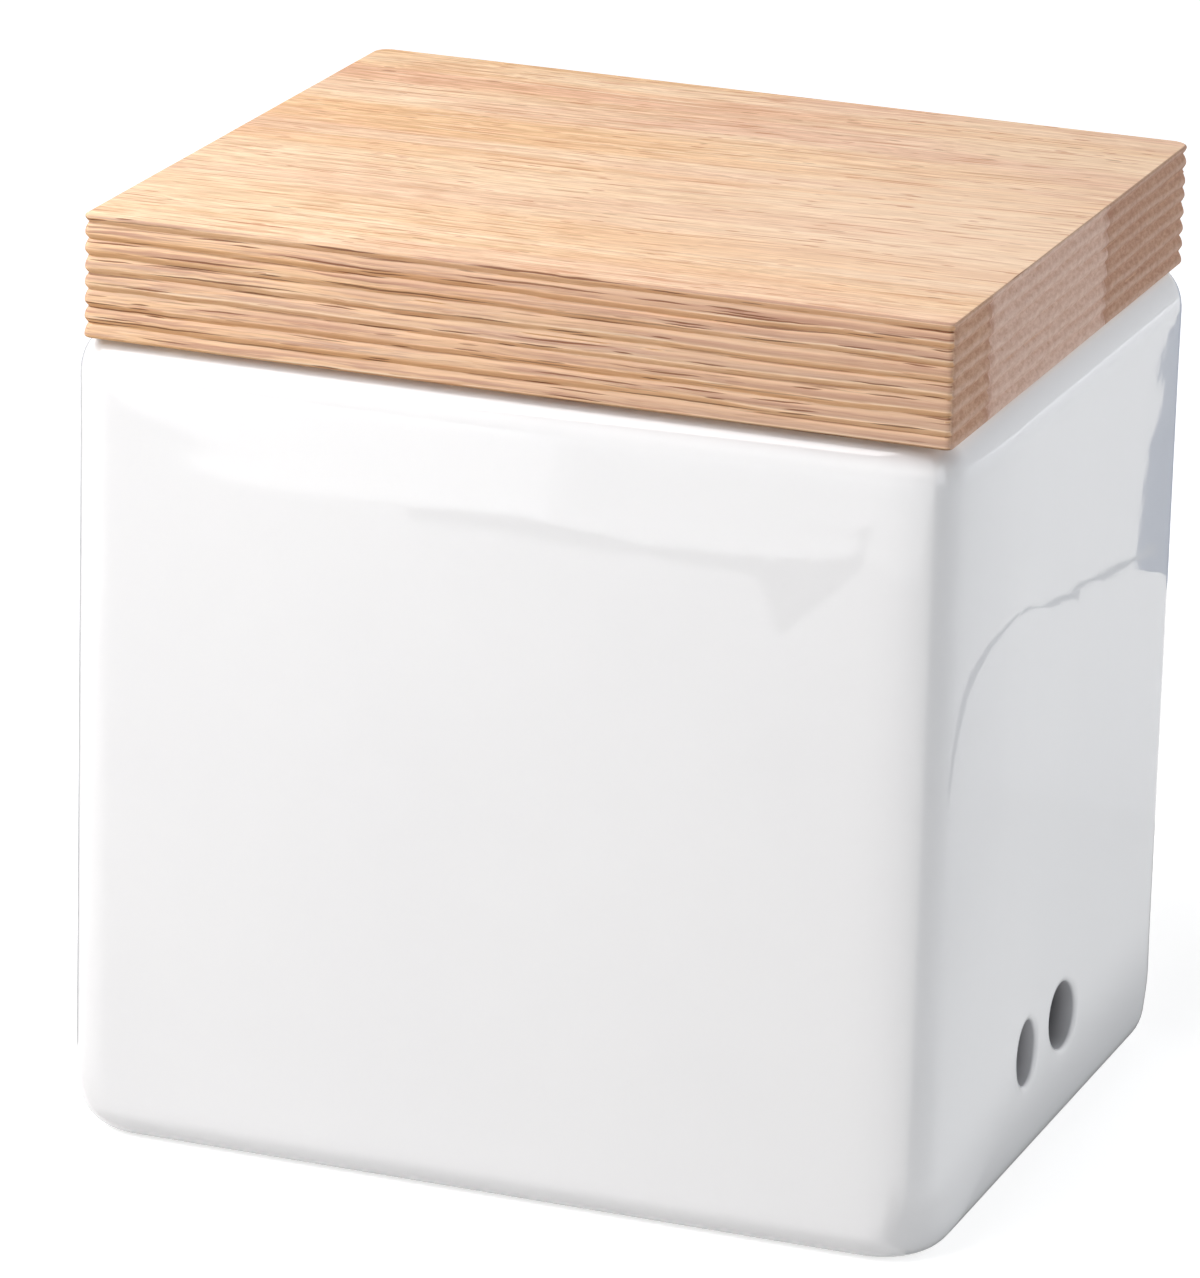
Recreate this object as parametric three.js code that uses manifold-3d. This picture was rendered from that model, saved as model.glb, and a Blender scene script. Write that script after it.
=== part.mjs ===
// A glazed ceramic keeper with vent holes low in its side walls and a lift-off wooden lid.
// Lengths are in millimetres and +Z is up. The origin is the middle of the base, on the table.
// The wide front faces -Y, and the vents are in the walls that face +X and -X.

import * as THREE from "three";
import { mergeVertices } from "three/addons/utils/BufferGeometryUtils.js";
import Module from "manifold-3d";

// Ceramic body, a straight-sided box with rounded upright corners
const BODY_WIDTH = 129;
const BODY_DEPTH = 106.5;
const BODY_HEIGHT = 116.5;
const BODY_CORNER_RADIUS = 7;
const WALL = 6;
const SHOULDER_REACH = 4;
const SHOULDER_HEIGHT = 6;
const RIM_INNER_RADIUS = 1;
const BASE_RADIUS = 4.5;

// The upright corners widen towards the base, from this height down
const BASE_BLEND_HEIGHT = 11;
const BASE_CORNER_RADIUS = 10.5;

// Hollow of the body
const CAVITY_CORNER_RADIUS = 6;
const CAVITY_FLOOR_RADIUS = 4;
const FLOOR_THICKNESS = 5.4;

// Unglazed ring that the body stands on, with a shallow recess inside it
const FOOT_WIDTH = 5;
const FOOT_HEIGHT = 1.2;
const FOOT_RECESS_CORNER_RADIUS = 4;

// Vents, a pair in each side wall. The front one is a little narrower than tall, and the back
// one a little wider.
const VENT_DIAMETER = 10;
const FRONT_VENT_WIDTH_SHARE = 0.83;
const BACK_VENT_WIDTH_SHARE = 1.1;
const VENT_SPACING = 16;
const VENT_HEIGHT = 18;
const VENT_PAIR_OFFSET = -3.3;
const VENT_LIP_RADIUS = 0.4;

// Lid, three staves glued edge to edge, with a reeded edge all round
const LID_SIDE_SETBACK = 2;
const LID_FRONT_SETBACK = 0.25;
const LID_THICKNESS = 17.5;
const FRONT_STAVE_WIDTH = 15.5;
const MIDDLE_STAVE_WIDTH = 52;
const LID_FRONT_CORNER_RADIUS = 1;
const LID_BACK_CORNER_RADIUS = 2.2;
const LID_SHIFT = 0.5;
const LID_EDGE_EASE = 0.4;
const GROOVE_COUNT = 7;
const GROOVE_DEPTH = 0.45;
const REED_SLOPE_SHARE = 0.64;

// Locating board glued under the lid
const PLUG_HEIGHT = 9;
const PLUG_SIDE_GAP = 2.2;
const PLUG_EDGE_EASE = 1;

// Soft ring in a groove round the locating board
const SEAL_GROOVE_HEIGHT = 4.4;
const SEAL_GROOVE_DEPTH = 1.8;
const SEAL_CLEARANCE = 0.3;
const SEAL_FIN_COUNT = 2;
const SEAL_FIN_ROOT_SHARE = 0.3;
const SEAL_FIN_TIP_SHARE = 0.16;

// Smoothness
const CORNER_STEPS = 6;
const FILLET_STEPS = 4;
const SHOULDER_STEPS = 6;
const LIP_STEPS = 3;
const EASE_STEPS = 2;
const VENT_SIDES = 24;
const BLEND_STEPS = 3;
const REED_SIDE_STEPS = 2;
const OVERRUN = 1;

// Sizes that follow from those above
const CAVITY_WIDTH = BODY_WIDTH - 2 * WALL;
const CAVITY_DEPTH = BODY_DEPTH - 2 * WALL;
const CAVITY_FLOOR_Z = FOOT_HEIGHT + FLOOR_THICKNESS;
const LID_WIDTH = BODY_WIDTH - 2 * LID_SIDE_SETBACK;
const LID_DEPTH = BODY_DEPTH - 2 * LID_FRONT_SETBACK;
const REED_PITCH = (LID_THICKNESS - 2 * LID_EDGE_EASE) / GROOVE_COUNT;
const PLUG_CORNER_RADIUS = CAVITY_CORNER_RADIUS - PLUG_SIDE_GAP;
const QUARTER_TURN = Math.PI / 2;
const FULL_TURN = 2 * Math.PI;

const glaze = new THREE.MeshStandardMaterial({ color: 0xf1f1f2, roughness: 0.12, metalness: 0 });
const longGrain = new THREE.MeshStandardMaterial({ color: 0xe0b78c, roughness: 0.6, metalness: 0 });
const paleGrain = new THREE.MeshStandardMaterial({ color: 0xe5bf98, roughness: 0.6, metalness: 0 });
const pinkGrain = new THREE.MeshStandardMaterial({ color: 0xdbab86, roughness: 0.6, metalness: 0 });
const silicone = new THREE.MeshStandardMaterial({ color: 0xe9e7e2, roughness: 0.45, metalness: 0 });

const wasm = await Module();
wasm.setup();

// Points on an arc round a centre, from one angle to another, both ends included.
function arc(centreX, centreY, radius, fromAngle, toAngle, steps) {
  const points = [];
  for (let step = 0; step <= steps; step += 1) {
    const angle = fromAngle + (toAngle - fromAngle) * (step / steps);
    points.push([centreX + radius * Math.cos(angle), centreY + radius * Math.sin(angle)]);
  }
  return points;
}

// A rectangle with rounded corners, anticlockwise from above.
// radii are those of the back right, back left, front left and front right corners.
function roundedRectangle(width, depth, radii) {
  const sides = [[1, 1], [-1, 1], [-1, -1], [1, -1]];
  return sides.flatMap(([sideX, sideY], corner) => {
    const radius = radii[corner];
    const centreX = sideX * (width / 2 - radius);
    const centreY = sideY * (depth / 2 - radius);
    const start = corner * QUARTER_TURN;
    return arc(centreX, centreY, radius, start, start + QUARTER_TURN, CORNER_STEPS);
  });
}

// A skin through rounded rectangles, one at each level. It is capped flat at the first and the
// last level, or joined from the last to the first where ring is true.
function loft(levels, ring = false) {
  const positions = [];
  const indices = [];
  const loops = levels.map(({ width, depth, radii, z }) =>
    roundedRectangle(width, depth, radii).map(([x, y]) => [x, y, z]));
  const count = loops[0].length;
  loops.forEach((loop) => loop.forEach((point) => positions.push(...point)));

  const strips = ring ? loops.length : loops.length - 1;
  for (let strip = 0; strip < strips; strip += 1) {
    const low = strip * count;
    const high = ((strip + 1) % loops.length) * count;
    for (let side = 0; side < count; side += 1) {
      const next = (side + 1) % count;
      indices.push(low + side, low + next, high + next);
      indices.push(low + side, high + next, high + side);
    }
  }

  if (!ring) {
    const bottomCentre = loops.length * count;
    const topCentre = bottomCentre + 1;
    const topLoop = bottomCentre - count;
    positions.push(0, 0, levels[0].z, 0, 0, levels[levels.length - 1].z);
    for (let side = 0; side < count; side += 1) {
      const next = (side + 1) % count;
      indices.push(bottomCentre, next, side);
      indices.push(topCentre, topLoop + side, topLoop + next);
    }
  }

  const geometry = new THREE.BufferGeometry();
  geometry.setAttribute("position", new THREE.Float32BufferAttribute(positions, 3));
  geometry.setIndex(indices);
  geometry.computeVertexNormals();
  return geometry;
}

function toSolid(geometry) {
  const bare = geometry.clone();
  bare.deleteAttribute("normal");
  bare.deleteAttribute("uv");
  const merged = mergeVertices(bare);
  return new wasm.Manifold(new wasm.Mesh({
    numProp: 3,
    vertProperties: new Float32Array(merged.attributes.position.array),
    triVerts: new Uint32Array(merged.index.array),
  }));
}

function toGeometry(solid) {
  const { vertProperties, triVerts } = solid.getMesh();
  const geometry = new THREE.BufferGeometry();
  geometry.setAttribute("position", new THREE.Float32BufferAttribute(vertProperties, 3));
  geometry.setIndex(new THREE.Uint32BufferAttribute(triVerts, 1));
  geometry.computeVertexNormals();
  return geometry;
}

// The radius of the upright corners at a height, which grows smoothly towards the base.
function cornerRadius(z) {
  const share = Math.max(1 - z / BASE_BLEND_HEIGHT, 0);
  const widening = share * share * (3 - 2 * share);
  return BODY_CORNER_RADIUS + (BASE_CORNER_RADIUS - BODY_CORNER_RADIUS) * widening;
}

// One level of the body's outside, moved in from its walls.
function outside(inset, z, radius = cornerRadius(z) - inset) {
  const radii = [radius, radius, radius, radius];
  return { width: BODY_WIDTH - 2 * inset, depth: BODY_DEPTH - 2 * inset, radii, z };
}

// One level of the body's hollow, moved in from its walls.
function hollow(inset, z) {
  const radius = CAVITY_CORNER_RADIUS - inset;
  const radii = [radius, radius, radius, radius];
  return { width: CAVITY_WIDTH - 2 * inset, depth: CAVITY_DEPTH - 2 * inset, radii, z };
}

// The body's skin: under the foot, up the outside, over the rim and down to the floor inside.
function bodySkin() {
  const footInset = BASE_RADIUS + FOOT_WIDTH;
  const base = arc(BASE_RADIUS, BASE_RADIUS, BASE_RADIUS, 3 * QUARTER_TURN, 2 * QUARTER_TURN,
    FILLET_STEPS);
  const blend = [];
  for (let step = 1; step <= BLEND_STEPS; step += 1) {
    blend.push(BASE_RADIUS + (BASE_BLEND_HEIGHT - BASE_RADIUS) * (step / BLEND_STEPS));
  }
  const shoulderShares = arc(1, 0, 1, 2 * QUARTER_TURN, QUARTER_TURN, SHOULDER_STEPS);
  const shoulder = shoulderShares.map(([inward, upward]) => [
    SHOULDER_REACH * inward,
    BODY_HEIGHT - SHOULDER_HEIGHT + SHOULDER_HEIGHT * upward,
  ]);
  const rim = arc(-RIM_INNER_RADIUS, BODY_HEIGHT - RIM_INNER_RADIUS, RIM_INNER_RADIUS,
    QUARTER_TURN, 0, FILLET_STEPS);
  const floor = arc(CAVITY_FLOOR_RADIUS, CAVITY_FLOOR_Z + CAVITY_FLOOR_RADIUS,
    CAVITY_FLOOR_RADIUS, 2 * QUARTER_TURN, 3 * QUARTER_TURN, FILLET_STEPS);
  return loft([
    outside(footInset, FOOT_HEIGHT, FOOT_RECESS_CORNER_RADIUS),
    outside(footInset, 0, FOOT_RECESS_CORNER_RADIUS),
    ...base.map(([inset, z]) => outside(inset, z)),
    ...blend.map((z) => outside(0, z)),
    ...shoulder.map(([inset, z]) => outside(inset, z)),
    ...rim.map(([inset, z]) => hollow(inset, z)),
    ...floor.map(([inset, z]) => hollow(inset, z)),
  ]);
}

// A cutter along X that leaves softened edges on both faces of the wall at side, 1 or -1.
// Its width across the wall is a share of its height.
function ventCutter(side, y, widthShare) {
  const radius = VENT_DIAMETER / 2;
  const outerLip = arc(radius + VENT_LIP_RADIUS, -VENT_LIP_RADIUS, VENT_LIP_RADIUS,
    2 * QUARTER_TURN, QUARTER_TURN, LIP_STEPS);
  const innerLip = arc(radius + VENT_LIP_RADIUS, VENT_LIP_RADIUS - WALL, VENT_LIP_RADIUS,
    3 * QUARTER_TURN, 2 * QUARTER_TURN, LIP_STEPS);
  const mouth = radius + VENT_LIP_RADIUS;
  const profile = [
    [0, -WALL - OVERRUN],
    [mouth, -WALL - OVERRUN],
    ...innerLip,
    ...outerLip,
    [mouth, OVERRUN],
    [0, OVERRUN],
  ];
  const cutter = new THREE.LatheGeometry(
    profile.map(([r, along]) => new THREE.Vector2(r, along)), VENT_SIDES, 0, FULL_TURN);
  cutter.rotateZ(-side * QUARTER_TURN);
  cutter.scale(1, widthShare, 1);
  cutter.translate(side * BODY_WIDTH / 2, y, VENT_HEIGHT);
  return toSolid(cutter);
}

function ceramicBody() {
  let body = toSolid(bodySkin());
  const frontY = VENT_PAIR_OFFSET - VENT_SPACING / 2;
  const backY = VENT_PAIR_OFFSET + VENT_SPACING / 2;
  for (const side of [1, -1]) {
    body = body.subtract(ventCutter(side, frontY, FRONT_VENT_WIDTH_SHARE));
    body = body.subtract(ventCutter(side, backY, BACK_VENT_WIDTH_SHARE));
  }
  return toGeometry(body);
}

// The lid's edge from its underside to its top, as pairs of an inset and a height. An eased edge
// runs up to the lowest crest and from the highest one. Between them each reed slopes gently
// inward above its crest, and turns out sharply to the next one.
function reedProfile() {
  const lowEase = arc(LID_EDGE_EASE, LID_EDGE_EASE, LID_EDGE_EASE,
    3 * QUARTER_TURN, 2 * QUARTER_TURN, EASE_STEPS);
  const highEase = arc(LID_EDGE_EASE, LID_THICKNESS - LID_EDGE_EASE, LID_EDGE_EASE,
    2 * QUARTER_TURN, QUARTER_TURN, EASE_STEPS);
  const reeds = [];
  for (let groove = 0; groove < GROOVE_COUNT; groove += 1) {
    const crest = LID_EDGE_EASE + groove * REED_PITCH;
    const bottom = crest + REED_SLOPE_SHARE * REED_PITCH;
    const nextCrest = crest + REED_PITCH;
    for (let step = 1; step <= REED_SIDE_STEPS; step += 1) {
      const share = step / REED_SIDE_STEPS;
      reeds.push([GROOVE_DEPTH * share * share, crest + (bottom - crest) * share]);
    }
    for (let step = REED_SIDE_STEPS - 1; step > 0; step -= 1) {
      const share = step / REED_SIDE_STEPS;
      reeds.push([GROOVE_DEPTH * share * share, nextCrest - (nextCrest - bottom) * share]);
    }
    if (groove < GROOVE_COUNT - 1) {
      reeds.push([0, nextCrest]);
    }
  }
  return [...lowEase, ...reeds, ...highEase];
}

// The whole lid board before it is divided into staves, with its underside at z = 0. It is glued
// on a little to the right of the locating board.
function lidBoard() {
  const back = LID_BACK_CORNER_RADIUS;
  const front = LID_FRONT_CORNER_RADIUS;
  const skin = loft(reedProfile().map(([inset, z]) => ({
    width: LID_WIDTH - 2 * inset,
    depth: LID_DEPTH - 2 * inset,
    radii: [back, back, front, front],
    z,
  })));
  skin.translate(LID_SHIFT, 0, 0);
  return toSolid(skin);
}

// The part of the lid board between two lengthwise planes.
function stave(board, fromY, toY) {
  const slab = new THREE.BoxGeometry(
    LID_WIDTH + 2 * OVERRUN, toY - fromY, LID_THICKNESS + 2 * OVERRUN);
  slab.translate(LID_SHIFT, (fromY + toY) / 2, LID_THICKNESS / 2);
  return toGeometry(board.intersect(toSolid(slab)));
}

// One level of the locating board, moved in from its sides.
function plugLevel(inset, z) {
  const radius = PLUG_CORNER_RADIUS - inset;
  return {
    width: CAVITY_WIDTH - 2 * (PLUG_SIDE_GAP + inset),
    depth: CAVITY_DEPTH - 2 * (PLUG_SIDE_GAP + inset),
    radii: [radius, radius, radius, radius],
    z,
  };
}

// The locating board, with its top at z = 0 and a groove half way down its side.
function lidPlug() {
  const ease = arc(PLUG_EDGE_EASE, PLUG_EDGE_EASE - PLUG_HEIGHT, PLUG_EDGE_EASE,
    3 * QUARTER_TURN, 2 * QUARTER_TURN, LIP_STEPS);
  const grooveBottom = (-PLUG_HEIGHT - SEAL_GROOVE_HEIGHT) / 2;
  const grooveTop = grooveBottom + SEAL_GROOVE_HEIGHT;
  return loft([
    ...ease.map(([inset, z]) => plugLevel(inset, z)),
    plugLevel(0, grooveBottom),
    plugLevel(SEAL_GROOVE_DEPTH, grooveBottom),
    plugLevel(SEAL_GROOVE_DEPTH, grooveTop),
    plugLevel(0, grooveTop),
    plugLevel(0, 0),
  ]);
}

// The soft ring. Its fins point out to the ceramic wall and stop just short of it.
function sealRing() {
  const height = SEAL_GROOVE_HEIGHT - 2 * SEAL_CLEARANCE;
  const bottom = (-PLUG_HEIGHT - height) / 2;
  const back = SEAL_GROOVE_DEPTH - SEAL_CLEARANCE;
  const tip = SEAL_CLEARANCE - PLUG_SIDE_GAP;
  const finPitch = height / SEAL_FIN_COUNT;
  const rootWidth = height * SEAL_FIN_ROOT_SHARE;
  const tipWidth = height * SEAL_FIN_TIP_SHARE;
  const levels = [plugLevel(back, bottom), plugLevel(0, bottom)];
  for (let fin = 0; fin < SEAL_FIN_COUNT; fin += 1) {
    const middle = bottom + (fin + 1 / 2) * finPitch;
    levels.push(plugLevel(0, middle - rootWidth / 2));
    levels.push(plugLevel(tip, middle - tipWidth / 2));
    levels.push(plugLevel(tip, middle + tipWidth / 2));
    levels.push(plugLevel(0, middle + rootWidth / 2));
  }
  levels.push(plugLevel(0, bottom + height), plugLevel(back, bottom + height));
  return loft(levels, true);
}

function addPiece(group, name, geometry, material) {
  const piece = new THREE.Mesh(geometry, material);
  piece.name = name;
  group.add(piece);
}

const canister = new THREE.Group();
addPiece(canister, "ceramic_body", ceramicBody(), glaze);

const lid = new THREE.Group();
lid.position.z = BODY_HEIGHT;
const board = lidBoard();
const frontEdge = -LID_DEPTH / 2;
const frontJoint = frontEdge + FRONT_STAVE_WIDTH;
const backJoint = frontJoint + MIDDLE_STAVE_WIDTH;
const backEdge = LID_DEPTH / 2;
addPiece(lid, "lid_stave_front", stave(board, frontEdge - OVERRUN, frontJoint), longGrain);
addPiece(lid, "lid_stave_middle", stave(board, frontJoint, backJoint), paleGrain);
addPiece(lid, "lid_stave_back", stave(board, backJoint, backEdge + OVERRUN), pinkGrain);
addPiece(lid, "lid_plug", lidPlug(), paleGrain);
addPiece(lid, "seal_ring", sealRing(), silicone);
canister.add(lid);

export default canister;
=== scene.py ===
"""Looks of the ceramic keeper with its reeded wooden lid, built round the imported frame.

Lengths are in millimetres unless a comment says metres, and the meshes are made in metres.
The front faces -Y and +Z is up.
"""
from math import atan, atan2, ceil, cos, degrees, pi, radians, sin, sqrt

import bmesh
import bpy
from mathutils import Matrix, Vector, noise


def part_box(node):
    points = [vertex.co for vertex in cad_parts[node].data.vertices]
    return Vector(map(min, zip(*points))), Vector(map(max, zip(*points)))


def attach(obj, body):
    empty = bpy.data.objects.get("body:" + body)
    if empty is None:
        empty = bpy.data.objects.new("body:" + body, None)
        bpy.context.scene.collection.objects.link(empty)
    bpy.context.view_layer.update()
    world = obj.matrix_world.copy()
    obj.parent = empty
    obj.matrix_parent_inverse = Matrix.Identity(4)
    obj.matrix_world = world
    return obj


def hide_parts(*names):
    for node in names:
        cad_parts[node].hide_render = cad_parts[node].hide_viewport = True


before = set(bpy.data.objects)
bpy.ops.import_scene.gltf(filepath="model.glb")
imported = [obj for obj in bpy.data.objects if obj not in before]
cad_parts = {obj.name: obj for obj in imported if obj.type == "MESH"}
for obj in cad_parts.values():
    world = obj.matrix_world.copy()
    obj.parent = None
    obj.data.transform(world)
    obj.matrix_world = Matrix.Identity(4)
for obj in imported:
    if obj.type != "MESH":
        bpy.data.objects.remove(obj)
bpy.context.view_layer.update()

MM = 0.001
PER_MM = 1000.0
QUARTER = pi / 2
SHARP_ANGLE = radians(40)

# Camera of the photograph, its distance in metres
PICTURE_WIDTH = 1200
PICTURE_HEIGHT = 1278
SENSOR = 36.0
FOCAL_PIXELS = 7935.2
AZIMUTH = radians(20.329)
ELEVATION = radians(17.971)
ROLL = radians(-1.58)
DISTANCE = 1.1246
MIDDLE_PIXEL = (633.6, 634.5)

# Stage, in metres. The floor is a hair below the foot ring, so that they don't share a plane.
FLOOR_Z = -0.00003
FLOOR_REACH = 4.0
FLOOR_GLOW = 0.73

# Height in millimetres of the cards that the glaze mirrors
CARD_HEIGHT = 1.0

# Ceramic body. SLUMPED_TURNS is the sagged corner's radius at some angles in degrees, and
# TURN_WEIGHT the length that counts like a radian when points are spaced along it.
BODY_CORNER_RADIUS = 7.0
SLUMPED_TURNS = ((0, 300.0), (4, 200.0), (7, 50.0), (12, 12.0), (34, 8.0), (42, 4.0), (50, 2.0),
                 (62, 2.0), (71, 8.0), (80, 20.0), (90, 40.0))
SLUMPED_SLICES = 900
TURN_WEIGHT = 16
CORNER_STEPS = 40
BASE_CORNER_RADIUS = 10.5
BASE_BLEND_HEIGHT = 10.3
WALL = 6.0
SHOULDER_REACH = 4.0
SHOULDER_HEIGHT = 6.0
RIM_INNER_RADIUS = 1.0
BASE_RADIUS = 4.5
CAVITY_CORNER_RADIUS = 6.0
CAVITY_FLOOR_RADIUS = 3.6
CAVITY_FLAT_INSET = 1.5
FLOOR_THICKNESS = 5.4
FOOT_WIDTH = 5.0
FOOT_HEIGHT = 1.2
FOOT_RECESS_CORNER_RADIUS = 4.0
FOOT_EDGE_RADIUS = 0.4
FOOT_RECESS_FLAT_INSET = 3.0
BARE_CLAY_HEIGHT = 0.25
VENT_HEIGHT = 17.75
VENT_PAIR_OFFSET = -3.0
VENT_SPACING = 16.4
VENT_REACHES = ((4.2, 4.9), (5.9, 5.15))
VENT_LEANS = (-0.3, -1.2)
VENT_LIP_RADIUS = 0.45
VENT_DISH = 0.9
VENT_DISH_DEPTH = 0.16
VENT_DISH_STEPS = 5
VENT_SHADE_FADE = 4.6
VENT_PATCH = 7.4
PATCH_SHARES = (0.35, 0.7)
BORE_SHARES = (0.35, 0.5, 0.65)
BORE_LIP_STEPS = 4
GLAZE_CELL = 1.75
GLAZE_WAVE = 0.10
BROAD_WAVE = 38
NARROW_WAVE = 15
WAVE_FADE_LOW = 12.0
WAVE_FADE_HIGH = 8.0
# Painted shadow on the front shoulder under the lid: its low and high heights, and its strength at
# the left and right end
PAINTED_SHADOW_LOW = 112.7
PAINTED_SHADOW_HIGH = 115.0
PAINTED_SHADOW_SHARES = (0.25, 0.75)
# Painted light on the other shoulders: the band's ends as shares of the shoulder's height down from
# the top
PAINTED_LIGHT_SHARES = (1.1, 0.6)
PIT_EDGE = (0.010, 0.016)
PIT_SHARE = 0.55

# Lid
LID_FRONT_CORNER_RADIUS = 1.0
LID_BACK_CORNER_RADIUS = 2.2
LID_SHIFT = 0.5
GROOVE_COUNT = 7
GROOVE_DEPTH = 0.45
LID_EDGE_EASE = 0.4
REED_SLOPE_SHARE = 0.64
REED_SLOPE_POWER = 2
REED_TURN_POWER = 1.6
REED_STEPS = 12
REED_WANDER = 0.42
REED_WEAR = 0.05
WANDER_LENGTH = 22
RIPPLE_LENGTH = 5
RIPPLE_SHARE = 0.35
WEAR_LENGTH = 12
PLUG_SIDE_GAP = 2.2
PLUG_EDGE_EASE = 1.0
SEAL_GROOVE_HEIGHT = 4.4
SEAL_GROOVE_DEPTH = 1.8
SEAL_CLEARANCE = 0.3
SEAL_CHAMFER = 0.2
SEAL_FIN_ROOT_SHARE = 0.15
SEAL_FIN_TIP_SHARE = 0.08

# Sizes read from the frame
body_low, body_high = [corner * PER_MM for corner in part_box("ceramic_body")]
lid_low, lid_high = [corner * PER_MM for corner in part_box("lid_stave_middle")]
plug_low, plug_high = [corner * PER_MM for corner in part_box("lid_plug")]
front_low, front_high = [corner * PER_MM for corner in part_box("lid_stave_front")]
back_low, back_high = [corner * PER_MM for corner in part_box("lid_stave_back")]
BODY_WIDTH = body_high.x - body_low.x
BODY_DEPTH = body_high.y - body_low.y
BODY_HEIGHT = body_high.z
PAINTED_LIGHT_HEIGHTS = [BODY_HEIGHT - SHOULDER_HEIGHT * share for share in PAINTED_LIGHT_SHARES]
CAVITY_WIDTH = BODY_WIDTH - 2 * WALL
CAVITY_DEPTH = BODY_DEPTH - 2 * WALL
CAVITY_FLOOR_Z = FOOT_HEIGHT + FLOOR_THICKNESS
LID_WIDTH = lid_high.x - lid_low.x
LID_DEPTH = back_high.y - front_low.y
LID_THICKNESS = lid_high.z - lid_low.z
REED_PITCH = (LID_THICKNESS - 2 * LID_EDGE_EASE) / GROOVE_COUNT
PLUG_CORNER_RADIUS = CAVITY_CORNER_RADIUS - PLUG_SIDE_GAP


def placed(name, data):
    """A new object in the scene."""
    made = bpy.data.objects.new(name, data)
    bpy.context.scene.collection.objects.link(made)
    return made


def towards(azimuth, elevation):
    """A direction away from the object, from angles in radians. Azimuth 0 is in front of it."""
    return Vector((sin(azimuth) * cos(elevation), -cos(azimuth) * cos(elevation), sin(elevation)))


def add_camera():
    """The photograph's camera. Its middle ray passes beside the object's middle, with no shift."""
    back = towards(AZIMUTH, ELEVATION)
    level = Vector((cos(AZIMUTH), sin(AZIMUTH), 0))
    plumb = (-back).cross(level)
    right = level * cos(ROLL) + plumb * sin(ROLL)
    down = plumb * cos(ROLL) - level * sin(ROLL)
    per_pixel = DISTANCE / FOCAL_PIXELS
    aside = (MIDDLE_PIXEL[0] - PICTURE_WIDTH / 2) * per_pixel
    below = (MIDDLE_PIXEL[1] - PICTURE_HEIGHT / 2) * per_pixel
    middle = Vector((0, 0, lid_high.z * MM / 2))
    camera = placed("camera", bpy.data.cameras.new("camera"))
    camera.data.sensor_width = SENSOR
    camera.data.lens = SENSOR * FOCAL_PIXELS / PICTURE_HEIGHT
    camera.data.clip_start = 0.05
    turned = Matrix((right, -down, back)).transposed()
    camera.rotation_mode = "QUATERNION"
    camera.rotation_quaternion = turned.to_quaternion()
    camera.location = middle + back * DISTANCE - right * aside - down * below
    bpy.context.scene.camera = camera


def arc(centre_x, centre_y, radius, start, end, steps):
    """Points on an arc, both ends included."""
    points = []
    for step in range(steps + 1):
        angle = start + (end - start) * step / steps
        points.append((centre_x + radius * cos(angle), centre_y + radius * sin(angle)))
    return points


def spread(stops, cell):
    """Values from the first stop to the last through each one between, at most a cell apart."""
    values = [stops[0]]
    for start, end in zip(stops, stops[1:]):
        count = max(1, ceil((end - start) / cell - 0.001))
        values += [start + (end - start) * (step + 1) / count for step in range(count)]
    return values


def eased(share):
    """A share from 0 to 1 with a soft start and end."""
    return share * share * (3 - 2 * share)


def smooth(mesh, planes=()):
    """Smooth shading but for the sharp edges. First cuts the mesh at planes across Y, if any.

    Each plane is its place and 1 or -1 for the side that goes. The cut faces are closed.
    """
    shaper = bmesh.new()
    shaper.from_mesh(mesh)
    for place, outward in planes:
        everything = shaper.verts[:] + shaper.edges[:] + shaper.faces[:]
        cut = bmesh.ops.bisect_plane(shaper, geom=everything, plane_co=(0, place * MM, 0),
                                     plane_no=(0, outward, 0), clear_outer=True)
        rim = [item for item in cut["geom_cut"] if isinstance(item, bmesh.types.BMEdge)]
        bmesh.ops.contextual_create(shaper, geom=rim)
    bmesh.ops.recalc_face_normals(shaper, faces=shaper.faces)
    shaper.to_mesh(mesh)
    shaper.free()
    mesh.shade_smooth()
    mesh.set_sharp_from_angle(angle=SHARP_ANGLE)


def mesh_object(name, skin, *materials):
    """An object from a skin, whose points are in millimetres."""
    mesh = bpy.data.meshes.new(name)
    points = [tuple(value * MM for value in point) for point in skin.points]
    mesh.from_pydata(points, [], skin.faces)
    for material in materials:
        mesh.materials.append(material)
    mesh.polygons.foreach_set("material_index", skin.face_materials)
    smooth(mesh)
    return placed(name, mesh)


def circle_curve(steps):
    """A quarter circle from its end on +X to its end on +Y, without the ends, on a scale of 1."""
    return [(cos(QUARTER * step / steps), sin(QUARTER * step / steps)) for step in range(1, steps)]


def slumped_corner():
    """The body's front right corner, which sagged a little, so its radius changes.

    Gives its reach along X and along Y, and points on it as shares of these, with the angle
    there from the side face.
    """
    turn = QUARTER / SLUMPED_SLICES
    places = [(0.0, 0.0, 0.0, 0.0)]
    for step in range(SLUMPED_SLICES):
        angle = (step + 0.5) * turn
        heading = degrees(angle)
        for (low, low_radius), (high, high_radius) in zip(SLUMPED_TURNS, SLUMPED_TURNS[1:]):
            if low <= heading <= high:
                share = eased((heading - low) / (high - low))
                radius = low_radius * (high_radius / low_radius) ** share
        x, y, _, measure = places[-1]
        length = radius * turn
        places.append((x + length * sin(angle), y + length * cos(angle),
                       angle + turn / 2, measure + length + TURN_WEIGHT * turn))
    reach_x, reach_y, _, whole = places[-1]
    points = []
    place = 0
    for step in range(1, CORNER_STEPS):
        while places[place][3] < whole * step / CORNER_STEPS:
            place += 1
        x, y, angle, _ = places[place]
        points.append((1 - x / reach_x, y / reach_y, angle))
    return reach_x, reach_y, points


SLUMPED_REACH_X, SLUMPED_REACH_Y, SLUMPED_POINTS = slumped_corner()


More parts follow.
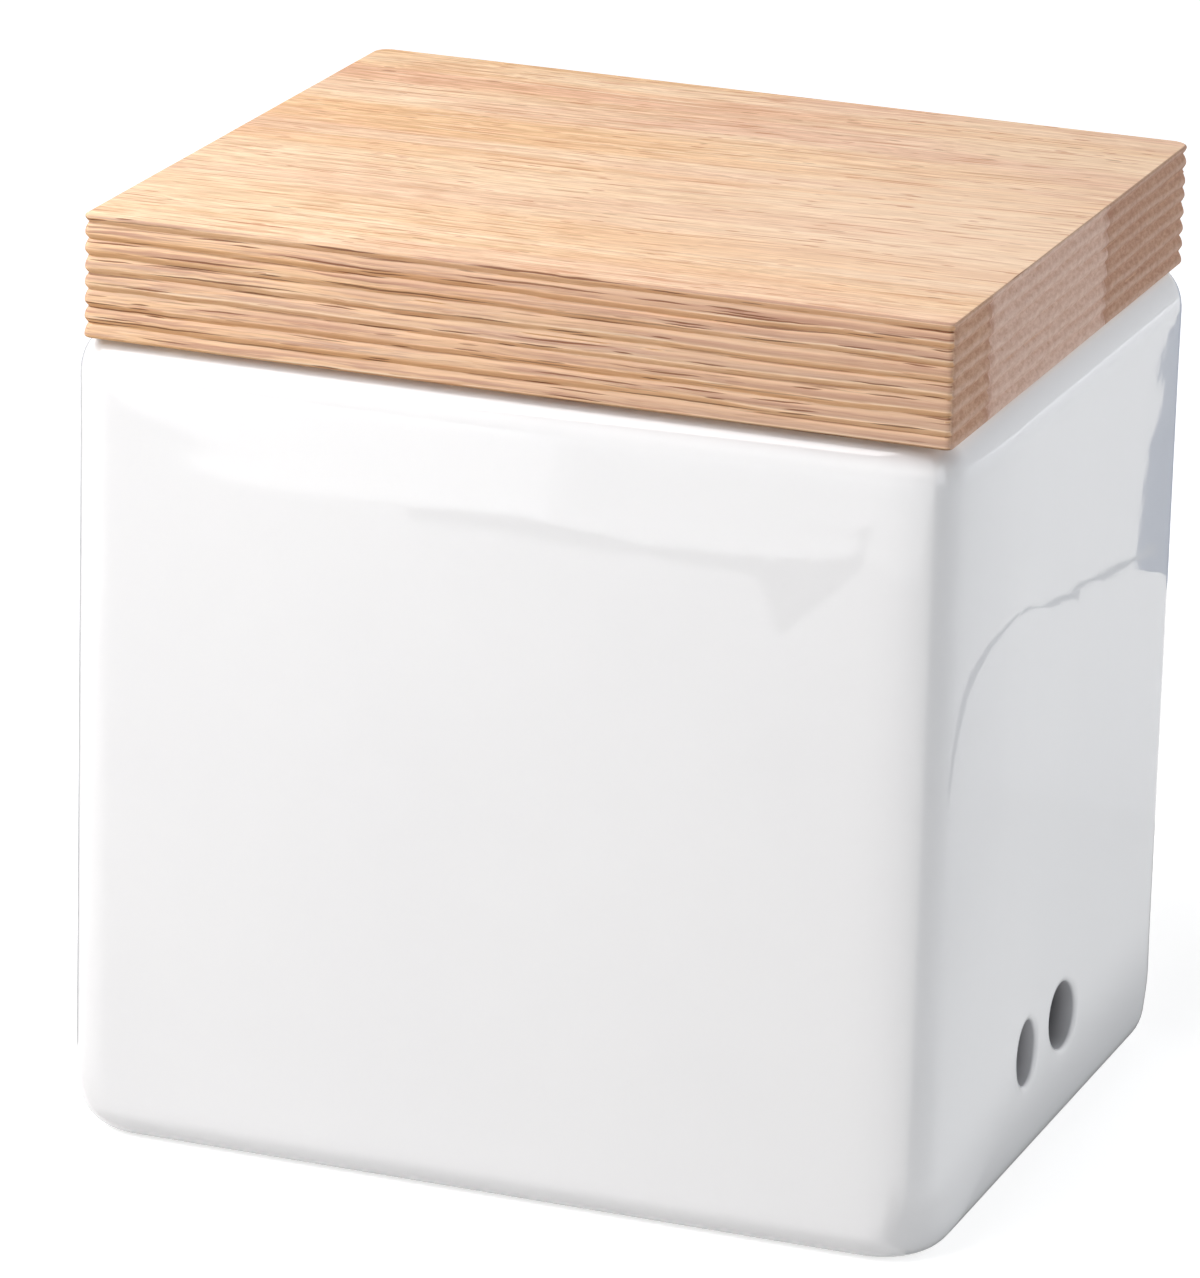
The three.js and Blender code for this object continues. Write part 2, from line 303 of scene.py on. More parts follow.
def rounded_loop(width, depth, corners, right_stops, left_stops, front_stops):
    """Points round a rectangle with rounded corners, anticlockwise from above.

    Each corner is its reach along X and along Y and the curve between. The stops are places
    along the right, left and front side, as shares of the straight stretch from its low end to
    its high one. The back has those of the front.
    """
    half_x = width / 2
    half_y = depth / 2
    signs = ((1, 1), (-1, 1), (-1, -1), (1, -1))
    back_stops, left_down = [[1 - share for share in reversed(stops)]
                             for stops in (front_stops, left_stops)]
    points = []
    for number, stops in enumerate((right_stops, back_stops, left_down, front_stops)):
        # Each side starts where the corner before it ends, and its own corner follows.
        across = number % 2
        ends = []
        for which in (number - 1, number):
            side_x, side_y = signs[which]
            reach_x, reach_y, curve = corners[which]
            ends.append((side_x * (half_x - reach_x * across),
                         side_y * (half_y - reach_y * (1 - across))))
        (start_x, start_y), (end_x, end_y) = ends
        points += [(start_x + (end_x - start_x) * share, start_y + (end_y - start_y) * share)
                   for share in stops]
        points += [(side_x * (half_x - reach_x * (1 - x)), side_y * (half_y - reach_y * (1 - y)))
                   for x, y in (reversed(curve) if across else curve)]
    return points


def even_corners(steps, *radii):
    """Circular corners."""
    return [(radius, radius, circle_curve(steps)) for radius in radii]


def as_shares(values):
    """Places along a stretch as shares of it."""
    return [(value - values[0]) / (values[-1] - values[0]) for value in values]


class Skin:
    """Points and faces of one closed surface, gathered loop by loop."""

    def __init__(self):
        self.points = []
        self.faces = []
        self.face_materials = []

    def add_ring(self, points):
        first = len(self.points)
        self.points += points
        return list(range(first, len(self.points)))

    def add_loop(self, points, z):
        return self.add_ring([(x, y, z) for x, y in points])

    def bridge(self, low, high, material=0, skip=None):
        """Quads between two loops of the same length, but for those to skip."""
        for side in range(len(low)):
            following = (side + 1) % len(low)
            quad = (low[side], low[following], high[following], high[side])
            if not (skip and skip(quad)):
                self.faces.append(quad)
                self.face_materials.append(material)

    def cap(self, loop):
        self.faces.append(tuple(loop))
        self.face_materials.append(0)

    def close(self, loops):
        """A closed form through a stack of loops."""
        for low, high in zip(loops, loops[1:]):
            self.bridge(low, high)
        self.cap(list(reversed(loops[0])))
        self.cap(loops[-1])


# The body's outside and inside share one pattern of columns, so that each vent meets both.
vent_places = [VENT_PAIR_OFFSET + side * VENT_SPACING / 2 for side in (-1, 1)]
vent_edges = [place + side * VENT_PATCH for place in vent_places for side in (-1, 1)]


def wall_columns(low, high):
    """Places along a side wall, at the edges of the vent patches and between them."""
    return spread([low] + vent_edges + [high], GLAZE_CELL)


def stretched(columns, low, high):
    """The same columns with other ends. Those in the vent patches keep their places."""
    moved = []
    for place in columns:
        edge, old_end, new_end = vent_edges[-1], columns[-1], high
        if place < vent_edges[0]:
            edge, old_end, new_end = vent_edges[0], columns[0], low
        if vent_edges[0] <= place <= vent_edges[-1]:
            moved.append(place)
        else:
            moved.append(edge + (place - edge) * (new_end - edge) / (old_end - edge))
    return moved


def even_shares(length, cell):
    count = ceil(length / cell)
    return [step / count for step in range(count + 1)]


def pot_waviness(point):
    """How far the glazed outside lies inside its true face, from uneven casting."""
    broad = noise.noise(Vector(point) / BROAD_WAVE)
    narrow = noise.noise(Vector(point) / NARROW_WAVE + Vector((7, 3, 1)))
    return GLAZE_WAVE * (0.5 + 0.42 * broad + 0.12 * narrow)


def body_corners(inset, z):
    """The outside's upright corners, which widen smoothly towards the base."""
    rounder = eased(max(1 - z / BASE_BLEND_HEIGHT, 0))

    def blend(upper, lower):
        return upper + (lower - upper) * rounder

    radius = blend(BODY_CORNER_RADIUS, BASE_CORNER_RADIUS) - inset
    slumped = [(blend(x, cos(angle)), blend(y, sin(angle))) for x, y, angle in SLUMPED_POINTS]
    return even_corners(CORNER_STEPS, radius, radius, radius) + [
        (blend(SLUMPED_REACH_X, BASE_CORNER_RADIUS) - inset,
         blend(SLUMPED_REACH_Y, BASE_CORNER_RADIUS) - inset, slumped)]


def waved(loop, z, amount):
    """A level of the outside, moved in by its unevenness."""
    core_width = BODY_WIDTH / 2 - BODY_CORNER_RADIUS
    core_depth = BODY_DEPTH / 2 - BODY_CORNER_RADIUS
    moved = []
    for x, y in loop:
        outward = Vector((x - max(min(x, core_width), -core_width),
                          y - max(min(y, core_depth), -core_depth)))
        outward.normalize()
        dent = pot_waviness((x, y, z)) * amount
        moved.append((x - outward.x * dent, y - outward.y * dent))
    return moved


# How steep the shallow dish round a vent gets, and how far outside the bore it starts
DISH_TILT = atan(2 * VENT_DISH_DEPTH / VENT_DISH)
DISH_START = VENT_DISH + VENT_LIP_RADIUS * (1 - sin(DISH_TILT))


def vent_profile():
    """Places along one vent from the outer face to the inner one, with softened lips.

    Each is how far outside the bore it lies and how far along X from the outer face.
    """
    lip = VENT_LIP_RADIUS
    lip_centre = -VENT_DISH_DEPTH - lip * cos(DISH_TILT)
    shares = [step / VENT_DISH_STEPS for step in range(1, VENT_DISH_STEPS)]
    profile = [(DISH_START - VENT_DISH * share, -VENT_DISH_DEPTH * share ** 2) for share in shares]
    profile += arc(lip, lip_centre, lip, QUARTER + DISH_TILT, 2 * QUARTER, 6)
    profile += [(0, -WALL * share) for share in BORE_SHARES]
    profile += arc(lip, lip - WALL, lip, 2 * QUARTER, 3 * QUARTER, 6)
    return profile


def build_pot(glaze, bisque, vent_shade):
    """The ceramic body as one closed skin with four softened vents."""
    skin = Skin()
    outer_half = BODY_DEPTH / 2 - BODY_CORNER_RADIUS
    inner_half = CAVITY_DEPTH / 2 - CAVITY_CORNER_RADIUS
    sides = [wall_columns(SLUMPED_REACH_Y - BODY_DEPTH / 2, outer_half),
             wall_columns(-outer_half, outer_half)]
    rows = even_shares(BODY_WIDTH - 2 * BODY_CORNER_RADIUS, GLAZE_CELL)
    outer_stops = [as_shares(columns) for columns in sides] + [rows]
    inner_stops = [as_shares(stretched(columns, -inner_half, inner_half)) for columns in sides]
    inner_stops.append(rows)
    patch_low = VENT_HEIGHT - VENT_PATCH
    patch_high = VENT_HEIGHT + VENT_PATCH

    def outside(inset, z, wavy=0.0, radius=None):
        corners = even_corners(CORNER_STEPS, *[radius] * 4) if radius else body_corners(inset, z)
        loop = rounded_loop(BODY_WIDTH - 2 * inset, BODY_DEPTH - 2 * inset, corners, *outer_stops)
        return skin.add_loop(waved(loop, z, wavy) if wavy else loop, z)

    def inside(inset, z):
        corners = even_corners(CORNER_STEPS, *[CAVITY_CORNER_RADIUS - inset] * 4)
        return skin.add_loop(rounded_loop(CAVITY_WIDTH - 2 * inset, CAVITY_DEPTH - 2 * inset,
                                          corners, *inner_stops), z)

    recess = BASE_RADIUS + FOOT_WIDTH
    edge = FOOT_EDGE_RADIUS
    fillet = [(recess + FOOT_RECESS_FLAT_INSET, FOOT_HEIGHT)]
    fillet += [(recess + edge - (x - recess), z)
               for x, z in arc(recess, FOOT_HEIGHT - edge, edge, QUARTER, 0, 4)]
    foot = arc(recess - edge, edge, edge, 0, -QUARTER, 4)
    loops = [(outside(inset, z, radius=FOOT_RECESS_CORNER_RADIUS), material)
             for material, places in enumerate((fillet, foot)) for inset, z in places]
    base = arc(BASE_RADIUS, BASE_RADIUS, BASE_RADIUS, 3 * QUARTER, 2 * QUARTER, 10)
    loops += [(outside(inset, z), 1 if z < BARE_CLAY_HEIGHT else 0) for inset, z in base]
    wall_top = BODY_HEIGHT - SHOULDER_HEIGHT
    for z in spread([BASE_RADIUS, patch_low, patch_high, wall_top], GLAZE_CELL)[1:]:
        fade = min(1.0, (z - BASE_RADIUS) / WAVE_FADE_LOW, (wall_top - z) / WAVE_FADE_HIGH)
        loops.append((outside(0, z, wavy=max(fade, 0.0)), 0))
    shoulder = arc(0, 0, 1, 2 * QUARTER, QUARTER, 14)
    loops += [(outside(SHOULDER_REACH * (1 + x), wall_top + SHOULDER_HEIGHT * y), 0)
              for x, y in shoulder[1:]]
    inner_start = len(loops)
    rim = arc(-RIM_INNER_RADIUS, BODY_HEIGHT - RIM_INNER_RADIUS, RIM_INNER_RADIUS, QUARTER, 0, 6)
    loops += [(inside(inset, z), 0) for inset, z in rim]
    floor_top = CAVITY_FLOOR_Z + CAVITY_FLOOR_RADIUS
    inner_heights = spread([floor_top, patch_low, patch_high, BODY_HEIGHT - RIM_INNER_RADIUS],
                           GLAZE_CELL)
    loops += [(inside(0, z), 0) for z in reversed(inner_heights[:-1])]
    floor = arc(CAVITY_FLOOR_RADIUS, floor_top, CAVITY_FLOOR_RADIUS, 2 * QUARTER, 3 * QUARTER, 10)
    loops += [(inside(inset, z), 0) for inset, z in floor[1:]]
    loops.append((inside(CAVITY_FLOOR_RADIUS + CAVITY_FLAT_INSET, CAVITY_FLOOR_Z), 0))

    # Quads of the side walls inside the vent patches are left out, and a ringed patch fills them.
    def in_patch(quad):
        x, y, z = sum((Vector(skin.points[index]) for index in quad), Vector()) / 4
        in_wall = abs(x) >= CAVITY_WIDTH / 2 - GLAZE_WAVE and patch_low < z < patch_high
        return in_wall and any(abs(y - place) < VENT_PATCH for place in vent_places)

    for (low, _), (high, material) in zip(loops, loops[1:]):
        skin.bridge(low, high, material, in_patch)
    skin.cap(list(reversed(loops[0][0])))
    skin.cap(loops[-1][0])

    for side in (1, -1):
        for place, reach, lean in zip(vent_places, VENT_REACHES, VENT_LEANS):
            add_vent(skin, place, side, reach, lean, loops[:inner_start], loops[inner_start:])
    return mesh_object("ceramic_body_glazed", skin, glaze, bisque, vent_shade)


def turn_at(skin, index, place):
    """A point's angle round a vent, as seen along +X."""
    _, y, z = skin.points[index]
    return atan2(z - VENT_HEIGHT, y - place)


def patch_border(skin, loops, place, side, wall_x):
    """The points round one vent patch in a wall, anticlockwise as seen along +X."""
    slack = 0.01
    found = []
    for loop, _ in loops:
        for index in loop:
            x, y, z = skin.points[index]
            reach = max(abs(y - place), abs(z - VENT_HEIGHT))
            if abs(x - side * wall_x) < 2 * GLAZE_WAVE and abs(reach - VENT_PATCH) < slack:
                found.append(index)
    return sorted(found, key=lambda index: turn_at(skin, index, place))


def add_vent(skin, place, side, reach, lean, outer_loops, inner_loops):
    """Fills a vent's patch: from a square border to a round mouth, and through the wall."""
    outer_border = patch_border(skin, outer_loops, place, side, BODY_WIDTH / 2)
    inner_border = patch_border(skin, inner_loops, place, side, CAVITY_WIDTH / 2)
    count = len(outer_border)
    # The border runs evenly round a square, so its corners fall on the diagonals of the circle.
    turns = [turn_at(skin, index, place) for index in outer_border]
    diagonal = min(range(count), key=lambda step: abs(turns[step] - QUARTER / 2))
    angles = [QUARTER / 2 + (step - diagonal) * 2 * pi / count for step in range(count)]

    def ring(margin, along):
        x = side * (BODY_WIDTH / 2 + along)
        reach_y = reach[0] + margin
        reach_z = reach[1] + margin
        return [(x, place + reach_y * cos(angle) + lean * sin(angle),
                 VENT_HEIGHT + reach_z * sin(angle)) for angle in angles]

    def blended(border, round_ring, share):
        mixed = []
        for index, target in zip(border, round_ring):
            source = skin.points[index]
            mixed.append(tuple(a + (b - a) * share for a, b in zip(source, target)))
        return mixed

    outer_mouth = ring(DISH_START, -GLAZE_WAVE / 2)
    inner_mouth = ring(VENT_LIP_RADIUS, -WALL)
    chain = [outer_border]
    chain += [skin.add_ring(blended(outer_border, outer_mouth, share)) for share in PATCH_SHARES]
    for margin, along in vent_profile():
        sunk = along - GLAZE_WAVE / 2 if along > -WALL / 2 else along
        chain.append(skin.add_ring(ring(margin, sunk)))
    chain += [skin.add_ring(blended(inner_border, inner_mouth, share))
              for share in reversed(PATCH_SHARES)]
    chain.append(inner_border)
    bore_start = len(PATCH_SHARES) + VENT_DISH_STEPS + BORE_LIP_STEPS
    bore_end = len(chain) - len(PATCH_SHARES) - 2 - BORE_LIP_STEPS
    # The bore's faces take material 2, the painted shade of the vents
    for step, (low, high) in enumerate(zip(chain, chain[1:])):
        skin.bridge(low, high, 2 if bore_start <= step <= bore_end else 0)


def reed_inset(z):
    """How far the lid's reeded edge lies inside its widest line, at a height in the lid.

    The lowest and highest crest stand off the faces by the eased edges. Above its crest each
    reed slopes gently inward, and below the next one it turns in sharply.
    """
    from_face = LID_EDGE_EASE - min(z, LID_THICKNESS - z)
    if from_face > 0:
        return LID_EDGE_EASE - sqrt(max(LID_EDGE_EASE ** 2 - from_face ** 2, 0))
    above = (z - LID_EDGE_EASE) / REED_PITCH % 1
    if above < REED_SLOPE_SHARE:
        return GROOVE_DEPTH * (above / REED_SLOPE_SHARE) ** REED_SLOPE_POWER
    return GROOVE_DEPTH * ((1 - above) / (1 - REED_SLOPE_SHARE)) ** REED_TURN_POWER


def reed_heights():
    """Heights at which the lid's edge is drawn, denser where it turns into the flat faces."""
    turned = [LID_EDGE_EASE * (1 - cos(QUARTER * step / 5)) for step in range(5)]
    middle = [LID_EDGE_EASE + step * REED_PITCH / REED_STEPS
              for step in range(GROOVE_COUNT * REED_STEPS + 1)]
    return turned + middle + [LID_THICKNESS - z for z in reversed(turned)]


def unevenness(x, y, length, layer):
    return noise.noise(Vector((x / length, y / length, layer)))


def board_skin():
    """The whole lid board before it is cut into staves, with hand-finished uneven reeds."""
    skin = Skin()
    skin.depths = []
    corners = even_corners(6, LID_BACK_CORNER_RADIUS, LID_BACK_CORNER_RADIUS,
                           LID_FRONT_CORNER_RADIUS, LID_FRONT_CORNER_RADIUS)
    columns = even_shares(LID_DEPTH, 2.0)
    rows = even_shares(LID_WIDTH, 2.0)
    outline = rounded_loop(LID_WIDTH, LID_DEPTH, corners, columns, columns, rows)
    loops = []
    for z in reed_heights():
        points = []
        reed = round((z - LID_EDGE_EASE) / REED_PITCH)
        near_face = min(z, LID_THICKNESS - z) - LID_EDGE_EASE
        loose = min(max(near_face / REED_PITCH, 0), 1)
        for x, y in outline:
            # Each reed has its own layer of the noise
            layer = reed * 3.7
            wander = REED_WANDER * unevenness(x, y, WANDER_LENGTH, layer)
            wander += REED_WANDER * RIPPLE_SHARE * unevenness(x, y, RIPPLE_LENGTH, layer + 1.3)
            inset = reed_inset(z + wander * loose)
            inset += REED_WEAR * (1 + unevenness(x, y, WEAR_LENGTH, z / 3 + 9)) / 2
            skin.depths.append(min(inset / GROOVE_DEPTH, 1))
            points.append((x * (1 - 2 * inset / LID_WIDTH) + LID_SHIFT,
                           y * (1 - 2 * inset / LID_DEPTH)))
        loops.append(skin.add_loop(points, lid_low.z + z))
    skin.close(loops)
    return skin


def build_stave(name, skin, planes, material):
    """The part of the board between lengthwise planes.

    Each point keeps how deep it lies in the reeding, as a share, for the material.
    """
    stave = mesh_object(name, skin, material)
    depth = stave.data.attributes.new("reed_depth", "FLOAT", "POINT")
    depth.data.foreach_set("value", skin.depths)
    smooth(stave.data, planes)
    return stave


def plug_loop(skin, inset, z):
    radius = PLUG_CORNER_RADIUS - inset
    width = CAVITY_WIDTH - 2 * (PLUG_SIDE_GAP + inset)
    depth = CAVITY_DEPTH - 2 * (PLUG_SIDE_GAP + inset)
    shares = even_shares(1, 0.05)
    corners = even_corners(10, *[radius] * 4)
    return skin.add_loop(rounded_loop(width, depth, corners, shares, shares, shares), z)


def build_plug(material):
    """The locating board with a seal groove and eased edges."""
    skin = Skin()
    bottom, top = plug_low.z, plug_high.z
    groove_low = (bottom + top - SEAL_GROOVE_HEIGHT) / 2
    groove_high = groove_low + SEAL_GROOVE_HEIGHT
    ease = arc(PLUG_EDGE_EASE, bottom + PLUG_EDGE_EASE, PLUG_EDGE_EASE, 3 * QUARTER, 2 * QUARTER, 6)
    places = [(PLUG_EDGE_EASE + 2, bottom)] + ease
    places += [(0, groove_low), (SEAL_GROOVE_DEPTH, groove_low),
               (SEAL_GROOVE_DEPTH, groove_high), (0, groove_high), (0, top)]
    loops = [plug_loop(skin, inset, z) for inset, z in places]
    skin.close(loops)
    return mesh_object("lid_locating_board", skin, material)


def build_seal(material):
    """The soft ring with two tapered fins."""
    skin = Skin()
    middle = (plug_low.z + plug_high.z) / 2
    height = SEAL_GROOVE_HEIGHT - 2 * SEAL_CLEARANCE
    bottom = middle - height / 2
    back = SEAL_GROOVE_DEPTH - SEAL_CLEARANCE
    tip = SEAL_CLEARANCE - PLUG_SIDE_GAP
    top = bottom + height
    places = [(back, bottom), (SEAL_CHAMFER, bottom), (0, bottom + SEAL_CHAMFER)]
    for fin in range(2):
        root = bottom + (fin + 0.5) * height / 2
        half_root, half_tip = height * SEAL_FIN_ROOT_SHARE, height * SEAL_FIN_TIP_SHARE
        places.append((0, root - half_root))
        places += [(tip + half_tip - half_tip * cos(angle), root + half_tip * sin(angle))
                   for angle in (-QUARTER, -QUARTER / 2, 0, QUARTER / 2, QUARTER)]
        places.append((0, root + half_root))
    places += [(0, top - SEAL_CHAMFER), (SEAL_CHAMFER, top), (back, top)]
    loops = [plug_loop(skin, inset, z) for inset, z in places]
    for low, high in zip(loops, loops[1:] + loops[:1]):
        skin.bridge(low, high)
    return mesh_object("silicone_ring", skin, material)


class Look:
    """The nodes of a material or the world, with short calls for adding and joining them."""

    def __init__(self, name, kind=bpy.data.materials):
        self.owner = kind.new(name)
        self.owner.use_nodes = True
        self.tree = self.owner.node_tree
        self.surface = self.tree.nodes.get("Principled BSDF")

    def set(self, socket, value):
        if isinstance(value, bpy.types.NodeSocket):
            self.tree.links.new(value, socket)
        else:
            socket.default_value = value

    def node(self, kind, inputs=None, **settings):
        made = self.tree.nodes.new("ShaderNode" + kind)
        for key, value in settings.items():
            setattr(made, key, value)
        for key, value in (inputs or {}).items():
            self.set(made.inputs[key], value)
        return made

    def calc(self, operation, a, b=0.0, clamp=False):
        return self.node("Math", {0: a, 1: b}, operation=operation, use_clamp=clamp).outputs[0]

    def both(self, a, b):
        return self.calc("MULTIPLY", a, b)

    def vector(self, operation, a, b):
        return self.node("VectorMath", {0: a, 1: b}, operation=operation).outputs[0]

    def parts(self, vector):
        return self.node("SeparateXYZ", {0: vector}).outputs

    def place(self):
        """Object coordinates in millimetres."""
        metres = self.node("TexCoord").outputs["Object"]
        return self.node("VectorMath", {0: metres, "Scale": PER_MM}, operation="SCALE").outputs[0]

    def ramp(self, value, low, high, low_out=0.0, high_out=1.0):
        return self.node("MapRange", {0: value, 1: low, 2: high, 3: low_out, 4: high_out},
                         interpolation_type="SMOOTHSTEP").outputs[0]

    def noise(self, place, cells, detail=1.0, roughness=0.5, output=0):
        """Soft noise with so many cells per unit along each axis. Output 1 is a random colour."""
        return self.node("TexNoise", {
            "Vector": self.vector("MULTIPLY", place, cells), "Scale": 1.0, "Detail": detail,
            "Roughness": roughness}).outputs[output]

    def scatter(self, place, cells):
        """One dot in each cell: how far away the nearest is, in cells, and its own chance."""
        dots = self.node("TexVoronoi", {"Vector": self.vector("MULTIPLY", place, cells),
                                        "Scale": 1.0}).outputs
        return dots["Distance"], self.node("SeparateColor", {0: dots["Color"]}).outputs[0]

    def mix(self, share, a, b, blend="MIX"):
        made = self.node("Mix", data_type="RGBA", blend_type=blend)
        self.set(made.inputs[0], share)
        self.set(made.inputs[6], a)
        self.set(made.inputs[7], b)
        return made.outputs[2]

    def tint(self, color, where, share, tone):
        """The colour with this share of another one over it, where the mask says so."""
        return self.mix(self.both(where, share), color, tone)

    def seen(self):
        """1 for what the camera sees, also in gloss or through glass, and 0 for stray light."""
        path = self.node("LightPath").outputs
        seen = self.calc("ADD", path["Is Camera Ray"], path["Is Glossy Ray"])
        return self.calc("ADD", seen, path["Is Transmission Ray"], clamp=True)

    def finish(self, color, roughness, height=None, bump_distance=0.0001, bump_strength=1.0):
        self.set(self.surface.inputs["Base Color"], color)
        self.set(self.surface.inputs["Roughness"], roughness)
        if height is not None:
            bump = self.node("Bump", {"Strength": bump_strength, "Distance": bump_distance,
                                      "Height": height})
            self.set(self.surface.inputs["Normal"], bump.outputs[0])
        return self.owner


def srgb(red, green, blue):
    """A colour as it is seen, 0 to 255, as a linear colour."""
    linear = []
    for value in (red, green, blue):
        share = value / 255
        linear.append(share / 12.92 if share <= 0.04045 else ((share + 0.055) / 1.055) ** 2.4)
    return (*linear, 1)


WHITE = (1, 1, 1, 1)

PIT_COLOR = srgb(120, 112, 104)

# The wood's colours. Where a share stands first, it says how strongly the colour shows.
PALE = srgb(252, 221, 187)
HONEY = srgb(245, 203, 159)
PINK = srgb(232, 182, 157)
RUST = srgb(206, 142, 104)
CREAM = srgb(252, 224, 200)
CREAM_STREAK = (0.65, srgb(255, 232, 202))
PORE = (0.75, srgb(190, 122, 92))
VEIN = (0.62, srgb(196, 130, 92))
FLECK = (0.55, srgb(150, 98, 66))
# Painted light on the reeded edge where the reeds face up: its share and its dark and light colour
LIT_SLOPE_SHARE = 0.74
LIT_SLOPE_DARK = srgb(180, 138, 120)
LIT_SLOPE_LIGHT = srgb(226, 189, 152)
# Painted shade: the colour the up-facing slopes darken to towards +X
SHADED_SLOPE = srgb(166, 124, 106)
# Painted shade where the reeds face down
UNDER_SHADE = (0.60, srgb(214, 158, 104))
# Painted highlight, cream, on the deep part of each up-facing slope
SLOPE_HIGHLIGHT = (0.50, srgb(242, 206, 170))
# Painted shade deep in the grooves
CREASE_SHADE = (0.60, srgb(150, 96, 60))
CRACK = (0.85, srgb(120, 70, 42))
# Painted shadow along the lid's low edge
LOW_EDGE_SHADOW = srgb(96, 70, 52)
END_SHARE = 0.94
END_SPOT = (0.30, srgb(158, 112, 86))
# Painted highlight along the reed crests in the end grain
END_CREST_HIGHLIGHT = (0.20, srgb(246, 224, 212))
GLUE = (0.5, srgb(166, 116, 94))

# The wood's noises: cells per millimetre along X, Y and Z, detail and, where it isn't the usual
# one, roughness, then the ends of the ramp that each goes through
STREAKS = ((0.045, 0.9, 2.2), 4.0, 0.75)
STREAK_TONES = (0.36, 0.64, 0.84, 1.06)
WOOD_NOISES = {
    "bands": (((0.004, 0.13, 0.3), 3.0), (0.38, 0.62)),
    "blush": (((0.014, 0.07, 0.1), 2.0), (0.46, 0.64)),
    "fibres": (((0.13, 2.0, 5.0), 3.0, 0.6), (0.34, 0.66, 0.81, 1.09)),
    "hairs": (((0.40, 5.0, 8.0), 1.0), (0.30, 0.70, 0.92, 1.06)),
    "rust": (((0.040, 1.5, 2.4), 3.0, 0.65), (0.54, 0.66)),
    "cream": (((0.016, 1.7, 2.2), 2.0), (0.58, 0.68)),
    "crowd": (((0.018, 0.05, 0.09), 2.0), (0.42, 0.60, 0.25, 1.0)),
    "strands": (((0.05, 0.6, 1.7), 3.0, 0.7), (0.42, 0.58)),
    "stretches": (((0.045, 0.1, 0.42), 1.0), (0.50, 0.62)),
    "mottle": (((0.3, 0.7, 1.6), 4.0, 0.7), (0.30, 0.70)),
    "glue": (((1.0, 0.5, 0.7), 2.0), (0.36, 0.58)),
}

# Random shifts of the grain: cells per millimetre, and how far it moves along each axis
GRAIN_SHIFTS = (((0.010, 0.03, 0.03), (0, 7, 4)), ((0.06, 0.1, 0.1), (0, 0.9, 0.8)),
                ((0.35, 0.3, 0.3), (0, 0.16, 0.16)))

# The red, green and blue of a streak are its tone to these powers.
TONE_POWERS = (0.75, 1.0, 1.25)

# Where parts of the wood's look fade in: by a face's direction, by the depth in the reeding,
# and in millimetres along X, in height or from a glue line
END_FACING = (0.60, 0.82)
FLAT_FACING = (0.85, 0.97)
LIT_SLOPE_FACING = (-0.08, 0.15)
UNDER_SHADE_FACING = (0.05, -0.30)
SLOPE_HIGHLIGHT_DEPTH = (0.35, 0.70)
CREASE_SHADE_DEPTH = (0.80, 0.96)
END_CREST_DEPTH = (0.30, 0.02)
CREAM_SPAN = (-40.0, 62.0)
SLOPE_SHADE_SPAN = (-50.0, 65.0, 0.0, 0.85)
LOW_EDGE_SHADOW_SPAN = (-60.0, 40.0, 0.2, 0.75)
LOW_EDGE_SHADOW_HEIGHTS = (lid_low.z + LID_EDGE_EASE * 1.3, lid_low.z + 0.1)
GLUE_REACH = (2.6, 0.3)

# Spots in the end grain, with their cells per millimetre, and dark lines along the grain. The
# rest is in shares of a cell, or a chance.
END_SPOT_CELLS = (0.5, 0.9, 0.9)
END_SPOT_REACH = (0.30, 0.12)
END_SPOT_CHANCE = (0.55, 0.9)
SCORE_ROW_SHIFT = 17.0
SCORE_MIDDLE = (0.22, 0.78)
SCORE_HALF_LENGTH = (0.15, 0.48)
SCORE_EDGE_SHARE = 0.6
SCORE_FAINT_SHARE = 0.3

# Relief of the wood and its gloss
PORE_CUT = 0.4
CRACK_CUT = 0.8
STREAK_RISE = 0.4
WOOD_ROUGHNESS = (0.3, 0.7, 0.74, 0.62)
WOOD_SHEEN = 0.25

# Each board is cut from another place in the tree, given as an offset in millimetres, and its
# grain is turned by a few degrees. Then follow the shares of cream towards +X, of pink, rust
# and flecks, and the two colours of the end grain.
WOOD_LOOKS = {
    "lid_stave_front": ((0, 0, 0), 1.2, 0.2, 0.35, 0.6, 1.0,
                        (srgb(204, 165, 140), srgb(178, 134, 108))),
    "lid_stave_middle": ((310, 40, 17), 2.2, 0.45, 0.3, 0.4, 0.5,
                         (srgb(224, 193, 177), srgb(201, 163, 143))),
    "lid_stave_back": ((-170, 95, 60), 1.6, 0.3, 0.6, 0.55, 0.9,
                       (srgb(196, 157, 133), srgb(170, 126, 102))),
    "lid_plug": ((55, -120, 33), -1.0, 0.0, 0.3, 0.3, 0.4,
                 (srgb(236, 204, 188), srgb(212, 174, 156))),
}


